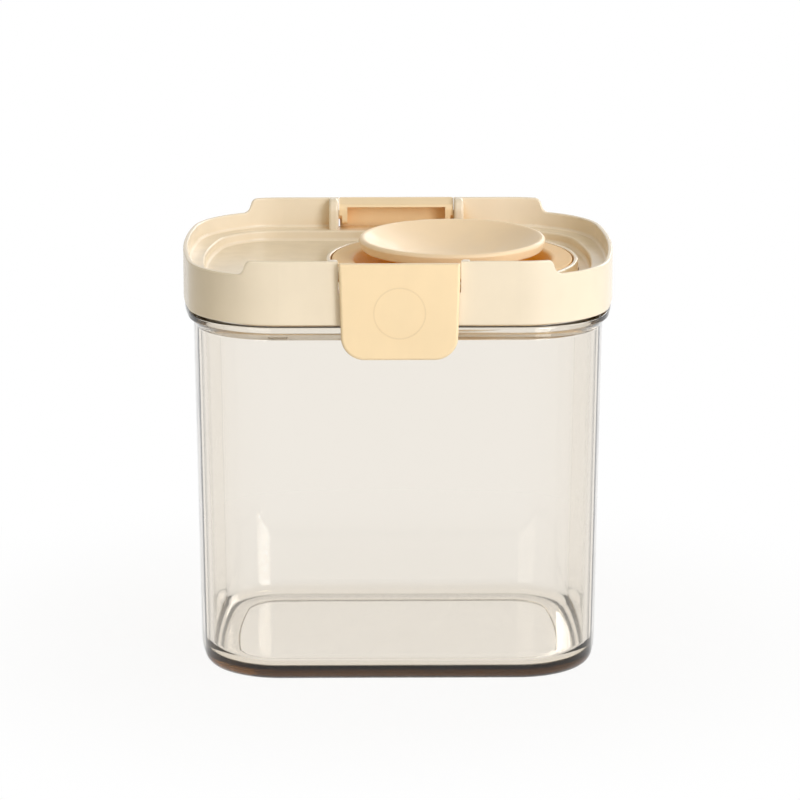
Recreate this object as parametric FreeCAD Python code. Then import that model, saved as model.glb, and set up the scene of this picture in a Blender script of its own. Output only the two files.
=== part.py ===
import FreeCAD
import Part

import math
import os

# Storage jar: a clear jar, a lid held by two latches, and a hand pump in the lid that draws
# the air out. Millimetres. +Z is up, -Y is the front, and the origin is on the table, under
# the middle of the jar.

# Lid cover, seen from above
LID_WIDTH = 112.0
LID_DEPTH = 86.0
LID_CORNER = 24.0
LID_BOW = 150.0
LID_WALL = 1.2
SIDE_LEDGE = 4.3
FRONT_LEDGE = 5.2
WELL_CORNER = 16.0
WELL_BOW = 100.0
# The front and rear walls stand higher, up to this distance from the lid's left and right
RAISED_SETBACK = 16.7
RAISED_RUN = 1.2

# Lid cover, heights, each from the one before, starting at the jar's mouth
WELL_PLATE = 1.6
WELL_STEP = 2.7
SIDE_WALL = 4.3
RAISED_WALL = 3.7

# Lid cover, edges
WALL_ROUND = 0.4
SKIRT_ROUND = 0.4
LEDGE_ROUND = 0.8
WELL_ROUND = 0.9
WELL_EDGE_ROUND = 0.5
RAISED_ROUND = 1.8

# Jar
JAR_HEIGHT = 99.2
JAR_WALL = 2.2
JAR_FLOOR = 3.0
JAR_DRAFT = 1.4
NECK_HEIGHT = 4.9
NECK_CLEARANCE = 1.3
LIP_EDGE = 1.4
LIP_FLARE = 2.2
LIP_INSET = 0.3
LIP_ROUND = 0.5
FLARE_ROUND = 1.5
SKIRT_GAP = 0.7
BASE_ROUND = 3.2
FLOOR_ROUND = 4.0
MOUTH_ROUND = 0.6
FOOT_WIDTH = 6.0
FOOT_RECESS = 0.6
FOOT_ROUND = 0.5

# Latches
LATCH_WIDTH = 30.8
LATCH_TAIL = 6.5
LATCH_WALL = 1.7
LATCH_TAPER = 0.7
LATCH_CORNER = 6.0
LATCH_TOP_CORNER = 0.5
LATCH_EDGE_ROUND = 0.8
LATCH_GAP = 0.5
LATCH_DROP = 0.3
LEG_WIDTH = 2.2
LEG_GAP = 1.1
LEG_ROUND = 1.6
LEG_INSET = 0.8
SHOULDER_DROP = 4.0
BAR_HEIGHT = 1.8
BAR_SLOPE = 1.4
PIVOT_DROP = 4.4
PIVOT_DEPTH = 2.2
PIVOT_MARGIN = 1.8
TRUNNION_RADIUS = 1.2
TRUNNION_GRIP = 1.4
TRUNNION_CLEARANCE = 0.08
TRUNNION_END_GAP = 0.3
NOTCH_CLEARANCE = 0.15
EAR_WALL = 2.6
EAR_DEPTH = 5.4
EAR_ROUND = 0.8
EAR_TOP_ROUND = 3.0
HOOK_WIDTH = 22.0
HOOK_REACH = 1.8
HOOK_HEIGHT = 1.6
HOOK_RAMP = 1.4
HOOK_CLEARANCE = 0.3
HOOK_ROUND = 0.3
RING_RADIUS = 6.65
RING_WIDTH = 0.25
RING_DEPTH = 0.07
RING_DROP = 12.9

# Lid liner and its gasket
LINER_CLEARANCE = 1.2
LINER_PLATE = 1.8
LINER_DEPTH = 5.6
LINER_RIM = 1.4
LINER_ROUND = 0.4
GROOVE_DEPTH = 1.8
GROOVE_HEIGHT = 3.0
GROOVE_FOOT = 1.0
GASKET_CLEARANCE = 0.1
GASKET_LIP_GAP = 0.2
GASKET_LIP_HEIGHT = 0.9
GASKET_COLLAR = 0.1

# Pump barrel
PUMP_SIDE_MARGIN = 3.3
PUMP_FRONT_MARGIN = 3.6
BARREL_STEP = 4.5
BARREL_WALL = 1.5
BARREL_FLOOR = 1.5
BARREL_CLEARANCE = 0.2
COLLAR_WALL = 1.2
COLLAR_RISE = 3.0
COLLAR_ROUND = 0.4
COLLAR_SEAT = 1.1
BARREL_SEAL_RADIUS = 0.55
BARREL_SEAL_CLEARANCE = 0.05

# Pump piston
DISC_CLEARANCE = 0.3
DISC_ROUND = 0.5
PISTON_CLEARANCE = 0.3
PISTON_LENGTH = 7.8
PISTON_WALL = 3.0
PISTON_FOOT = 0.7
PISTON_FLOOR_GAP = 0.4
DISC_LAND = 5.6
BOWL_DEPTH = 6.6
BOWL_RUN = 6.2
BOWL_WALL = 1.6
BOWL_ROUND = 6.0
BOWL_LIP_ROUND = 1.8
PISTON_SEAL_HEIGHT = 2.0
PISTON_SEAL_DEPTH = 1.3
PISTON_SEAL_CLEARANCE = 0.1
PISTON_SEAL_CHAMFER = 0.5

# Pump knob
KNOB_GAP = 1.8
KNOB_RISE = 5.5
KNOB_RIM = 3.1
KNOB_RIM_ROUND = 0.9
KNOB_RIM_WIDTH = 1.3
KNOB_RIM_DRAFT = 0.8
KNOB_RIM_EDGE = 0.6
KNOB_FOOT_RADIUS = 8.5
KNOB_NECK_RADIUS = 6.8
KNOB_NECK_HEIGHT = 4.2
KNOB_NECK_ROUND = 3.0
KNOB_FOOT_ROUND = 0.3
DISH_DEPTH = 6.0
DISH_ROUND = 1.4

# Screw and washer that hold the knob to the piston
SCREW_RADIUS = 1.5
SCREW_FIT = 0.02
SCREW_CLEARANCE = 0.2
SCREW_GRIP = 4.6
SCREW_TIP = 0.4
SCREW_HEAD_RADIUS = 3.2
SCREW_HEAD_HEIGHT = 1.5
SCREW_HEAD_ROUND = 0.4
DRIVE_LENGTH = 3.6
DRIVE_WIDTH = 0.8
DRIVE_DEPTH = 0.7
WASHER_RADIUS = 3.6
WASHER_HEIGHT = 0.6

# Inlet valve in the barrel's floor
INLET_MARGIN = 11.5
INLET_HEAD_RADIUS = 5.5
INLET_HEAD_HEIGHT = 1.3
INLET_EDGE_HEIGHT = 0.4
INLET_STEM_RADIUS = 1.5
INLET_STEM_CLEARANCE = 0.1
INLET_BARB_RADIUS = 2.3
INLET_BARB_HEIGHT = 1.8
INLET_TIP_RADIUS = 0.9
PORT_RADIUS = 0.8
PORT_CIRCLE = 3.4
PORT_COUNT = 6

# Release valve, a plug through the well's plate
RELEASE_TRAVEL = 2.5
RELEASE_CAP_RADIUS = 6.0
RELEASE_CAP_HEIGHT = 2.2
RELEASE_CAP_ROUND = 1.2
RELEASE_GRIP_DEPTH = 0.7
RELEASE_GRIP_HEIGHT = 0.8
RELEASE_STEM_RADIUS = 2.4
RELEASE_CLEARANCE = 0.25
RELEASE_BARB_RADIUS = 3.4
RELEASE_BARB_HEIGHT = 2.2
RELEASE_TIP_RADIUS = 1.6

# Every cut runs on past the surface that it opens by this much
OVERRUN = 2.0

# Heights above the table that several pieces share
LIP_TOP = JAR_HEIGHT - NECK_HEIGHT
LIP_BOTTOM = LIP_TOP - LIP_EDGE
FLARE_BOTTOM = LIP_BOTTOM - LIP_FLARE
SKIRT_BOTTOM = LIP_TOP + SKIRT_GAP
WELL_FLOOR = JAR_HEIGHT + WELL_PLATE
LEDGE = WELL_FLOOR + WELL_STEP
SIDE_TOP = LEDGE + SIDE_WALL
LID_TOP = SIDE_TOP + RAISED_WALL
LINER_BOTTOM = JAR_HEIGHT - LINER_DEPTH
LINER_PLATE_BOTTOM = JAR_HEIGHT - LINER_PLATE
GROOVE_BOTTOM = LINER_BOTTOM + GROOVE_FOOT
DISC_TOP = WELL_FLOOR + COLLAR_RISE
DISC_SEAT = JAR_HEIGHT + COLLAR_SEAT
PISTON_BOTTOM = DISC_SEAT - PISTON_LENGTH
BARREL_FLOOR_TOP = PISTON_BOTTOM - PISTON_FLOOR_GAP
BARREL_BOTTOM = BARREL_FLOOR_TOP - BARREL_FLOOR
BOWL_FLOOR = DISC_TOP - BOWL_DEPTH
BOWL_BOTTOM = BOWL_FLOOR - BOWL_WALL
PIVOT_HEIGHT = LID_TOP - PIVOT_DROP
LATCH_TOP = LID_TOP - LATCH_DROP
LATCH_FOOT = LIP_BOTTOM - LATCH_TAIL
LEG_FOOT = LEDGE + LEG_GAP

# Plans: half width, half depth, corner radius, and the radius of the bowed left and right sides
LID_PLAN = (LID_WIDTH / 2, LID_DEPTH / 2, LID_CORNER, LID_BOW)
WELL_PLAN = (
    LID_WIDTH / 2 - LID_WALL - SIDE_LEDGE,
    LID_DEPTH / 2 - LID_WALL - FRONT_LEDGE,
    WELL_CORNER,
    WELL_BOW,
)


def inset(plan, distance):
    """The same plan, drawn in by a distance on every side."""
    return tuple(size - distance for size in plan)


def corner_centre(plan):
    """Centre of the arc that rounds a plan's rear right corner."""
    half_width, half_depth, radius, bow = plan
    y = half_depth - radius
    x = half_width - bow + math.sqrt((bow - radius) ** 2 - y ** 2)
    return x, y


JAR_PLAN = inset(LID_PLAN, LID_WALL + NECK_CLEARANCE)
LIP_REACH = LID_WALL + NECK_CLEARANCE - LIP_INSET
MOUTH_PLAN = inset(JAR_PLAN, JAR_WALL)
LINER_PLAN = inset(MOUTH_PLAN, LINER_CLEARANCE)

# The pump nearly fills the well's depth, and its radii step inward from there
COLLAR_RADIUS = WELL_PLAN[1] - PUMP_FRONT_MARGIN
COLLAR_BORE = COLLAR_RADIUS - COLLAR_WALL
BORE_RADIUS = COLLAR_RADIUS - BARREL_STEP
BARREL_RADIUS = BORE_RADIUS + BARREL_WALL
PISTON_RADIUS = BORE_RADIUS - PISTON_CLEARANCE
BOWL_RADIUS = COLLAR_BORE - DISC_LAND
KNOB_RADIUS = BOWL_RADIUS - KNOB_GAP

# The pump stands near the well's right side
PUMP_X = WELL_PLAN[0] - PUMP_SIDE_MARGIN - COLLAR_RADIUS
PUMP_Y = 0
INLET_X = PUMP_X - BORE_RADIUS + INLET_MARGIN

# The release valve stands halfway from the collar to the well's round front left corner
CORNER_X, CORNER_Y = [-place for place in corner_centre(WELL_PLAN)]
CORNER_DISTANCE = math.hypot(CORNER_X - PUMP_X, CORNER_Y - PUMP_Y)
RELEASE_DISTANCE = (COLLAR_RADIUS + CORNER_DISTANCE + WELL_CORNER) / 2
RELEASE_X = PUMP_X + (CORNER_X - PUMP_X) * RELEASE_DISTANCE / CORNER_DISTANCE
RELEASE_Y = PUMP_Y + (CORNER_Y - PUMP_Y) * RELEASE_DISTANCE / CORNER_DISTANCE

# Half widths at the latches
NOTCH_HALF = LATCH_WIDTH / 2 + NOTCH_CLEARANCE
POCKET_HALF = LATCH_WIDTH / 2 - LEG_WIDTH

ORIGIN = FreeCAD.Vector(0, 0, 0)
RIGHT = FreeCAD.Vector(1, 0, 0)
FRONT = FreeCAD.Vector(0, -1, 0)
UP = FreeCAD.Vector(0, 0, 1)
QUARTER_TURN = 90
HALF_TURN = 180
FULL_TURN = 360


def rounded_corner(before, corner, after, radius):
    """Start, middle and end of the arc that rounds one corner of an outline."""
    towards_before = (before - corner).normalize()
    towards_after = (after - corner).normalize()
    half_angle = towards_before.getAngle(towards_after) / 2
    tangent = radius / math.tan(half_angle)
    inward = (towards_before + towards_after).normalize()
    middle = corner + inward * (radius / math.sin(half_angle) - radius)
    return corner + towards_before * tangent, middle, corner + towards_after * tangent


def outline_face(points):
    """A face in the XZ plane from (across, height) corners, each with an optional rounding."""
    corners = [FreeCAD.Vector(point[0], 0, point[1]) for point in points]
    stops = []
    for index, point in enumerate(points):
        if len(point) > 2:
            after = corners[(index + 1) % len(corners)]
            stops.append(rounded_corner(corners[index - 1], corners[index], after, point[2]))
        else:
            stops.append((corners[index],))
    edges = []
    for index, stop in enumerate(stops):
        if len(stop) > 1:
            edges.append(Part.Arc(*stop).toShape())
        start = stop[-1]
        end = stops[(index + 1) % len(stops)][0]
        if not start.isEqual(end, Part.Precision.confusion()):
            edges.append(Part.LineSegment(start, end).toShape())
    return Part.Face(Part.Wire(edges))


def joined(solids):
    """One solid from solids that touch or overlap."""
    return solids[0].fuse(solids[1:]).removeSplitter().Solids[0]


def section_face(radius, section, turn, x, y):
    """An upright section of (offset, height) points at a radius and a turn about the line at x, y."""
    face = outline_face([(radius + point[0], *point[1:]) for point in section])
    face.rotate(ORIGIN, UP, turn)
    face.translate(FreeCAD.Vector(x, y, 0))
    return face


def ring_pieces(plan, section):
    """Corners and sides of a section of (offset, height) points carried round a plan."""
    half_width, _, radius, bow = plan
    x, y = corner_centre(plan)
    side_x = half_width - bow
    spread = math.degrees(math.atan2(y, x - side_x))
    corner_turn = QUARTER_TURN - spread
    side = section_face(bow, section, -spread, side_x, 0)
    right = section_face(radius, section, spread, x, y)
    rear = section_face(radius, section, QUARTER_TURN, x, y)
    left = section_face(radius, section, QUARTER_TURN, -x, y)
    half_ring = [
        side.revolve(FreeCAD.Vector(side_x, 0, 0), UP, 2 * spread),
        right.revolve(FreeCAD.Vector(x, y, 0), UP, corner_turn),
        rear.extrude(RIGHT * -2 * x),
        left.revolve(FreeCAD.Vector(-x, y, 0), UP, corner_turn),
    ]
    return [*half_ring, *[rear_copy(piece) for piece in half_ring]]


def swept_ring(plan, section):
    """A closed ring of one section round a plan."""
    return joined(ring_pieces(plan, section))


def moulded_block(plan, edge):
    """A full block on a plan, whose edge is (offset, height) points from bottom to top."""
    half_width, _, radius, _ = plan
    bottom = edge[0][1]
    top = edge[-1][1]
    section = [(-radius, bottom), *edge, (-radius, top)]
    x, y = corner_centre(plan)
    front_right = FreeCAD.Vector(x, -y, bottom)
    rear_right = FreeCAD.Vector(x, y, bottom)
    right = FreeCAD.Vector(half_width - radius, 0, bottom)
    half_outline = [
        Part.LineSegment(FreeCAD.Vector(-x, -y, bottom), front_right).toShape(),
        Part.Arc(front_right, right, rear_right).toShape(),
    ]
    outline = Part.Wire([*half_outline, *[rear_copy(edge) for edge in half_outline]])
    core = Part.Face(outline).extrude(UP * (top - bottom))
    return joined([core, *ring_pieces(plan, section)])


def turned(points, x, y):
    """A solid turned about the upright line at x, y from (radius, height) corners."""
    solid = outline_face(points).revolve(ORIGIN, UP, FULL_TURN)
    solid.translate(FreeCAD.Vector(x, y, 0))
    return solid


def hole(radius, bottom, top, x, y):
    """An upright cylinder to cut with."""
    return Part.makeCylinder(radius, top - bottom, FreeCAD.Vector(x, y, bottom))


def front_bar(points, width):
    """A bar across the lid's front, from (outward offset, height) corners of its section."""
    face = outline_face(points)
    face.rotate(ORIGIN, UP, -QUARTER_TURN)
    face.translate(FreeCAD.Vector(-width / 2, -LID_DEPTH / 2, 0))
    return face.extrude(RIGHT * width)


def front_box(left, right, inner, outer, bottom, top):
    """A box at the lid's front, with its depth as offsets outward from the lid's face."""
    corner = FreeCAD.Vector(left, -LID_DEPTH / 2 - outer, bottom)
    return Part.makeBox(right - left, outer - inner, top - bottom, corner)


def rear_copy(shape):
    """The same shape after half a turn, which takes it from front to rear and right to left."""
    copy = shape.copy()
    copy.rotate(ORIGIN, UP, HALF_TURN)
    return copy


def jar_body():
    """Clear jar: drafted walls, a flared lip for the latches and a plain neck above it."""
    outside = moulded_block(JAR_PLAN, [
        (-JAR_DRAFT, 0, BASE_ROUND),
        (0, FLARE_BOTTOM, FLARE_ROUND),
        (LIP_REACH, LIP_BOTTOM, LIP_ROUND),
        (LIP_REACH, LIP_TOP, LIP_ROUND),
        (0, LIP_TOP),
        (0, JAR_HEIGHT, MOUTH_ROUND),
    ])
    inside = moulded_block(MOUTH_PLAN, [
        (-JAR_DRAFT, JAR_FLOOR, FLOOR_ROUND),
        (0, FLARE_BOTTOM),
        (0, JAR_HEIGHT, MOUTH_ROUND),
        (OVERRUN, JAR_HEIGHT),
        (OVERRUN, JAR_HEIGHT + OVERRUN),
    ])
    recess = moulded_block(inset(JAR_PLAN, JAR_DRAFT + BASE_ROUND + FOOT_WIDTH), [
        (0, -OVERRUN),
        (0, FOOT_RECESS, FOOT_ROUND),
    ])
    return outside.cut([inside, recess])


def wall_step():
    """Cutter that lowers the front and rear walls to the right of the raised stretch."""
    end = LID_WIDTH / 2 - RAISED_SETBACK
    top_end = end - RAISED_RUN / 2
    side_end = end + RAISED_RUN / 2
    start = top_end - 2 * RAISED_ROUND
    edge = LID_WIDTH / 2 + OVERRUN
    face = outline_face([
        (start, LID_TOP),
        (top_end, LID_TOP, RAISED_ROUND),
        (side_end, SIDE_TOP, RAISED_ROUND),
        (edge, SIDE_TOP),
        (edge, LID_TOP + OVERRUN),
        (start, LID_TOP + OVERRUN),
    ])
    face.translate(FreeCAD.Vector(0, LID_DEPTH / 2 + OVERRUN, 0))
    return face.extrude(FRONT * (LID_DEPTH + 2 * OVERRUN))


def wall_top_edges(shape):
    """Edges that run along the top of the lid's wall, and not the short ones across it."""
    along = [edge for edge in shape.Edges if edge.Length > LID_WALL + WALL_ROUND]
    return [edge for edge in along if edge.BoundBox.ZMin > SIDE_TOP - WALL_ROUND]


def hinge_ears():
    """Ears beside the front notch that hold the latch's trunnions."""
    inner_face = EAR_DEPTH - LID_DEPTH / 2
    ears = []
    for side in (-1, 1):
        ear = front_bar([
            (-LID_WALL / 2, LEDGE),
            (-LID_WALL / 2, LID_TOP),
            (-EAR_DEPTH, LID_TOP, EAR_TOP_ROUND),
            (-EAR_DEPTH, LEDGE),
        ], EAR_WALL)
        inner = [edge for edge in ear.Edges if edge.BoundBox.YMax > inner_face - EAR_ROUND]
        upright = [edge for edge in inner if edge.BoundBox.ZLength > EAR_ROUND]
        ear = ear.makeFillet(EAR_ROUND, upright)
        ear.translate(RIGHT * side * (NOTCH_HALF + EAR_WALL / 2))
        ears.append(ear)
    return ears


def trunnion_pin(radius, reach):
    """A pin along the front latch's pivot, as long as the notch and its reach past both sides."""
    start = FreeCAD.Vector(-NOTCH_HALF - reach, -LID_DEPTH / 2 + PIVOT_DEPTH, PIVOT_HEIGHT)
    return Part.makeCylinder(radius, 2 * (NOTCH_HALF + reach), start, RIGHT)


def lid_cover():
    """Lid cover: skirt, wall with raised front and rear, ledge, well and the latches' ears."""
    block = moulded_block(LID_PLAN, [
        (0, SKIRT_BOTTOM, SKIRT_ROUND),
        (0, LID_TOP),
    ])
    inside_wall = moulded_block(inset(LID_PLAN, LID_WALL), [
        (0, LEDGE, LEDGE_ROUND),
        (0, LID_TOP + OVERRUN),
    ])
    well = moulded_block(WELL_PLAN, [
        (0, WELL_FLOOR, WELL_ROUND),
        (0, LEDGE, WELL_EDGE_ROUND),
        (OVERRUN, LEDGE),
        (OVERRUN, LEDGE + OVERRUN),
    ])
    underside = moulded_block(inset(LID_PLAN, LID_WALL), [
        (0, SKIRT_BOTTOM - OVERRUN),
        (0, JAR_HEIGHT),
    ])
    step = wall_step()
    shell = block.cut([inside_wall, well, underside, step, rear_copy(step)])
    shell = shell.makeFillet(WALL_ROUND, wall_top_edges(shell))
    notch = front_box(-NOTCH_HALF, NOTCH_HALF, -LID_WALL - OVERRUN, OVERRUN, LEDGE, LID_TOP + OVERRUN)
    shell = shell.cut([notch, rear_copy(notch)])
    ears = hinge_ears()
    shell = joined([shell, *ears, *[rear_copy(ear) for ear in ears]])
    pivot = trunnion_pin(TRUNNION_RADIUS + TRUNNION_CLEARANCE, TRUNNION_GRIP + TRUNNION_END_GAP)
    pump_hole = hole(
        COLLAR_RADIUS + BARREL_CLEARANCE, JAR_HEIGHT - OVERRUN, LEDGE + OVERRUN, PUMP_X, PUMP_Y
    )
    release_hole = hole(
        RELEASE_STEM_RADIUS + RELEASE_CLEARANCE,
        JAR_HEIGHT - OVERRUN, WELL_FLOOR + OVERRUN, RELEASE_X, RELEASE_Y,
    )
    return shell.cut([pivot, rear_copy(pivot), pump_hole, release_hole])


def latch_plate():
    """Outer plate of the front latch, tapered, with round lower corners and a thin ring on it."""
    top_half = LATCH_WIDTH / 2
    foot_half = top_half - LATCH_TAPER
    face = outline_face([
        (-foot_half, LATCH_FOOT, LATCH_CORNER),
        (foot_half, LATCH_FOOT, LATCH_CORNER),
        (top_half, LATCH_TOP, LATCH_TOP_CORNER),
        (-top_half, LATCH_TOP, LATCH_TOP_CORNER),
    ])
    face.translate(FRONT * (LID_DEPTH / 2 + LATCH_GAP))
    plate = face.extrude(FRONT * LATCH_WALL)
    front = -LID_DEPTH / 2 - LATCH_GAP - LATCH_WALL
    outer_edges = [edge for edge in plate.Edges if edge.BoundBox.YMax < front + LATCH_WALL / 2]
    plate = plate.makeFillet(LATCH_EDGE_ROUND, outer_edges)
    centre = FreeCAD.Vector(0, front + RING_DEPTH, LID_TOP - RING_DROP)
    groove = Part.makeCylinder(RING_RADIUS, OVERRUN, centre, FRONT)
    core = Part.makeCylinder(RING_RADIUS - RING_WIDTH, OVERRUN, centre, FRONT)
    return plate.cut(groove.cut(core))


def latch_hinge():
    """Top bar, two narrower legs and trunnions of the front latch, inside the notch."""
    inner = -PIVOT_DEPTH - PIVOT_MARGIN
    block = front_bar([
        (LATCH_GAP, LEG_FOOT),
        (LATCH_GAP, LATCH_TOP),
        (inner, LATCH_TOP - BAR_SLOPE, LEG_ROUND),
        (inner, LEG_FOOT, LEG_ROUND),
    ], LATCH_WIDTH)
    leg_outside = LATCH_WIDTH / 2 - LEG_INSET
    shoulder = LATCH_TOP - SHOULDER_DROP
    reliefs = [
        front_box(start, start + NOTCH_HALF, inner - OVERRUN, LATCH_GAP, LEG_FOOT - OVERRUN, shoulder)
        for start in (leg_outside, -leg_outside - NOTCH_HALF)
    ]
    pocket = front_box(
        -POCKET_HALF, POCKET_HALF, inner - OVERRUN, LATCH_GAP, LEG_FOOT - OVERRUN, LATCH_TOP - BAR_HEIGHT
    )
    return joined([block.cut(reliefs), trunnion_pin(TRUNNION_RADIUS, TRUNNION_GRIP)]).cut(pocket)


def latch_hook():
    """Hook on the back of the front latch, under the jar's flared lip."""
    slope = LIP_FLARE / LIP_REACH
    root = LATCH_GAP + LATCH_WALL / 2
    tip = LATCH_GAP - HOOK_REACH
    tip_top = LIP_BOTTOM + (LIP_INSET + tip) * slope - HOOK_CLEARANCE
    root_top = tip_top + (root - tip) * slope
    return front_bar([
        (root, root_top),
        (tip, tip_top, HOOK_ROUND),
        (tip, tip_top - HOOK_HEIGHT, HOOK_ROUND),
        (root, tip_top - HOOK_HEIGHT - HOOK_RAMP),
    ], HOOK_WIDTH)


def front_latch():
    """Latch flap in one piece: plate, legs, trunnions and hook."""
    return joined([latch_plate(), latch_hinge(), latch_hook()])


def lid_liner():
    """Liner under the cover: a plate with a grooved rim that plugs the jar's mouth."""
    groove_top = GROOVE_BOTTOM + GROOVE_HEIGHT
    block = moulded_block(LINER_PLAN, [
        (0, LINER_BOTTOM, LINER_ROUND),
        (0, GROOVE_BOTTOM),
        (-GROOVE_DEPTH, GROOVE_BOTTOM),
        (-GROOVE_DEPTH, groove_top),
        (0, groove_top),
        (0, JAR_HEIGHT),
    ])
    hollow = moulded_block(inset(LINER_PLAN, GROOVE_DEPTH + LINER_RIM), [
        (0, LINER_BOTTOM - OVERRUN),
        (0, LINER_PLATE_BOTTOM, LINER_RIM),
    ])
    barrel_hole = hole(
        BARREL_RADIUS + BARREL_CLEARANCE, LINER_BOTTOM - OVERRUN, JAR_HEIGHT + OVERRUN, PUMP_X, PUMP_Y
    )
    seal_room = 2 * (BARREL_SEAL_RADIUS + BARREL_SEAL_CLEARANCE)
    seal_seat = hole(
        BARREL_RADIUS + seal_room, JAR_HEIGHT - seal_room, JAR_HEIGHT + OVERRUN, PUMP_X, PUMP_Y
    )
    release_hole = hole(
        RELEASE_STEM_RADIUS + RELEASE_CLEARANCE,
        LINER_BOTTOM - OVERRUN, JAR_HEIGHT + OVERRUN, RELEASE_X, RELEASE_Y,
    )
    return block.cut([hollow, barrel_hole, seal_seat, release_hole])


def lid_gasket():
    """Silicone gasket in the liner's groove, with two lips towards the jar's mouth."""
    bottom = GROOVE_BOTTOM + GASKET_CLEARANCE
    top = GROOVE_BOTTOM + GROOVE_HEIGHT - GASKET_CLEARANCE
    back = GASKET_CLEARANCE - GROOVE_DEPTH
    lip = LINER_CLEARANCE - GASKET_LIP_GAP
    return swept_ring(LINER_PLAN, [
        (back, bottom),
        (GASKET_COLLAR, bottom),
        (lip, bottom + GASKET_LIP_HEIGHT),
        (GASKET_COLLAR, bottom + GASKET_LIP_HEIGHT),
        (GASKET_COLLAR, top - GASKET_LIP_HEIGHT),
        (lip, top),
        (back, top),
    ])


def pump_barrel():
    """Barrel: a cup hung in the liner, with a wider collar that rises into the well."""
    cup = turned([
        (0, BARREL_BOTTOM),
        (BARREL_RADIUS, BARREL_BOTTOM, COLLAR_ROUND),
        (BARREL_RADIUS, JAR_HEIGHT),
        (COLLAR_RADIUS, JAR_HEIGHT),
        (COLLAR_RADIUS, DISC_TOP, COLLAR_ROUND),
        (COLLAR_BORE, DISC_TOP, COLLAR_ROUND),
        (COLLAR_BORE, DISC_SEAT),
        (BORE_RADIUS, DISC_SEAT),
        (BORE_RADIUS, BARREL_FLOOR_TOP),
        (0, BARREL_FLOOR_TOP),
    ], PUMP_X, PUMP_Y)
    bottom = BARREL_BOTTOM - OVERRUN
    top = BARREL_FLOOR_TOP + OVERRUN
    cuts = [hole(INLET_STEM_RADIUS + INLET_STEM_CLEARANCE, bottom, top, INLET_X, PUMP_Y)]
    for index in range(PORT_COUNT):
        angle = 2 * math.pi * index / PORT_COUNT
        x = INLET_X + PORT_CIRCLE * math.cos(angle)
        y = PUMP_Y + PORT_CIRCLE * math.sin(angle)
        cuts.append(hole(PORT_RADIUS, bottom, top, x, y))
    return cup.cut(cuts)


def barrel_seal():
    """O-ring between the barrel and the liner."""
    radius = BARREL_RADIUS + BARREL_SEAL_CLEARANCE + BARREL_SEAL_RADIUS
    height = JAR_HEIGHT - BARREL_SEAL_CLEARANCE - BARREL_SEAL_RADIUS
    return Part.makeTorus(radius, BARREL_SEAL_RADIUS, FreeCAD.Vector(PUMP_X, PUMP_Y, height))


def inlet_valve():
    """Umbrella valve that lets air from the jar into the barrel and not back."""
    floor = BARREL_FLOOR_TOP
    return turned([
        (0, BARREL_BOTTOM - INLET_BARB_HEIGHT),
        (INLET_TIP_RADIUS, BARREL_BOTTOM - INLET_BARB_HEIGHT),
        (INLET_BARB_RADIUS, BARREL_BOTTOM),
        (INLET_STEM_RADIUS, BARREL_BOTTOM),
        (INLET_STEM_RADIUS, floor),
        (INLET_HEAD_RADIUS, floor),
        (INLET_HEAD_RADIUS, floor + INLET_EDGE_HEIGHT),
        (INLET_STEM_RADIUS, floor + INLET_HEAD_HEIGHT),
        (0, floor + INLET_HEAD_HEIGHT),
    ], INLET_X, PUMP_Y)


def pump_piston():
    """Piston: a flat disc with a finger bowl, on a skirt that carries the seal."""
    disc = COLLAR_BORE - DISC_CLEARANCE
    skirt_inside = PISTON_RADIUS - PISTON_WALL
    groove = PISTON_RADIUS - PISTON_SEAL_DEPTH
    groove_bottom = PISTON_BOTTOM + PISTON_FOOT
    groove_top = groove_bottom + PISTON_SEAL_HEIGHT
    slope = BOWL_DEPTH / BOWL_RUN
    wall_height = BOWL_WALL * math.hypot(1, slope)
    under_skirt = DISC_TOP - (BOWL_RADIUS - skirt_inside) * slope - wall_height
    under_floor = skirt_inside - (under_skirt - BOWL_BOTTOM) / slope
    hole_radius = SCREW_RADIUS + SCREW_CLEARANCE
    return turned([
        (hole_radius, BOWL_FLOOR),
        (BOWL_RADIUS - BOWL_RUN, BOWL_FLOOR, BOWL_ROUND),
        (BOWL_RADIUS, DISC_TOP, BOWL_LIP_ROUND),
        (disc, DISC_TOP, DISC_ROUND),
        (disc, DISC_SEAT),
        (PISTON_RADIUS, DISC_SEAT),
        (PISTON_RADIUS, groove_top),
        (groove, groove_top),
        (groove, groove_bottom),
        (PISTON_RADIUS, groove_bottom),
        (PISTON_RADIUS, PISTON_BOTTOM),
        (skirt_inside, PISTON_BOTTOM),
        (skirt_inside, under_skirt),
        (under_floor, BOWL_BOTTOM, BOWL_WALL),
        (hole_radius, BOWL_BOTTOM),
    ], PUMP_X, PUMP_Y)


def piston_seal():
    """Silicone lip ring in the piston's groove."""
    inner = PISTON_RADIUS - PISTON_SEAL_DEPTH + PISTON_SEAL_CLEARANCE
    outer = BORE_RADIUS - PISTON_SEAL_CLEARANCE
    bottom = PISTON_BOTTOM + PISTON_FOOT + PISTON_SEAL_CLEARANCE
    top = PISTON_BOTTOM + PISTON_FOOT + PISTON_SEAL_HEIGHT - PISTON_SEAL_CLEARANCE
    return turned([
        (inner, bottom),
        (outer, bottom),
        (outer, bottom + PISTON_SEAL_CHAMFER),
        (outer - PISTON_SEAL_CHAMFER, top),
        (inner, top),
    ], PUMP_X, PUMP_Y)


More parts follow.
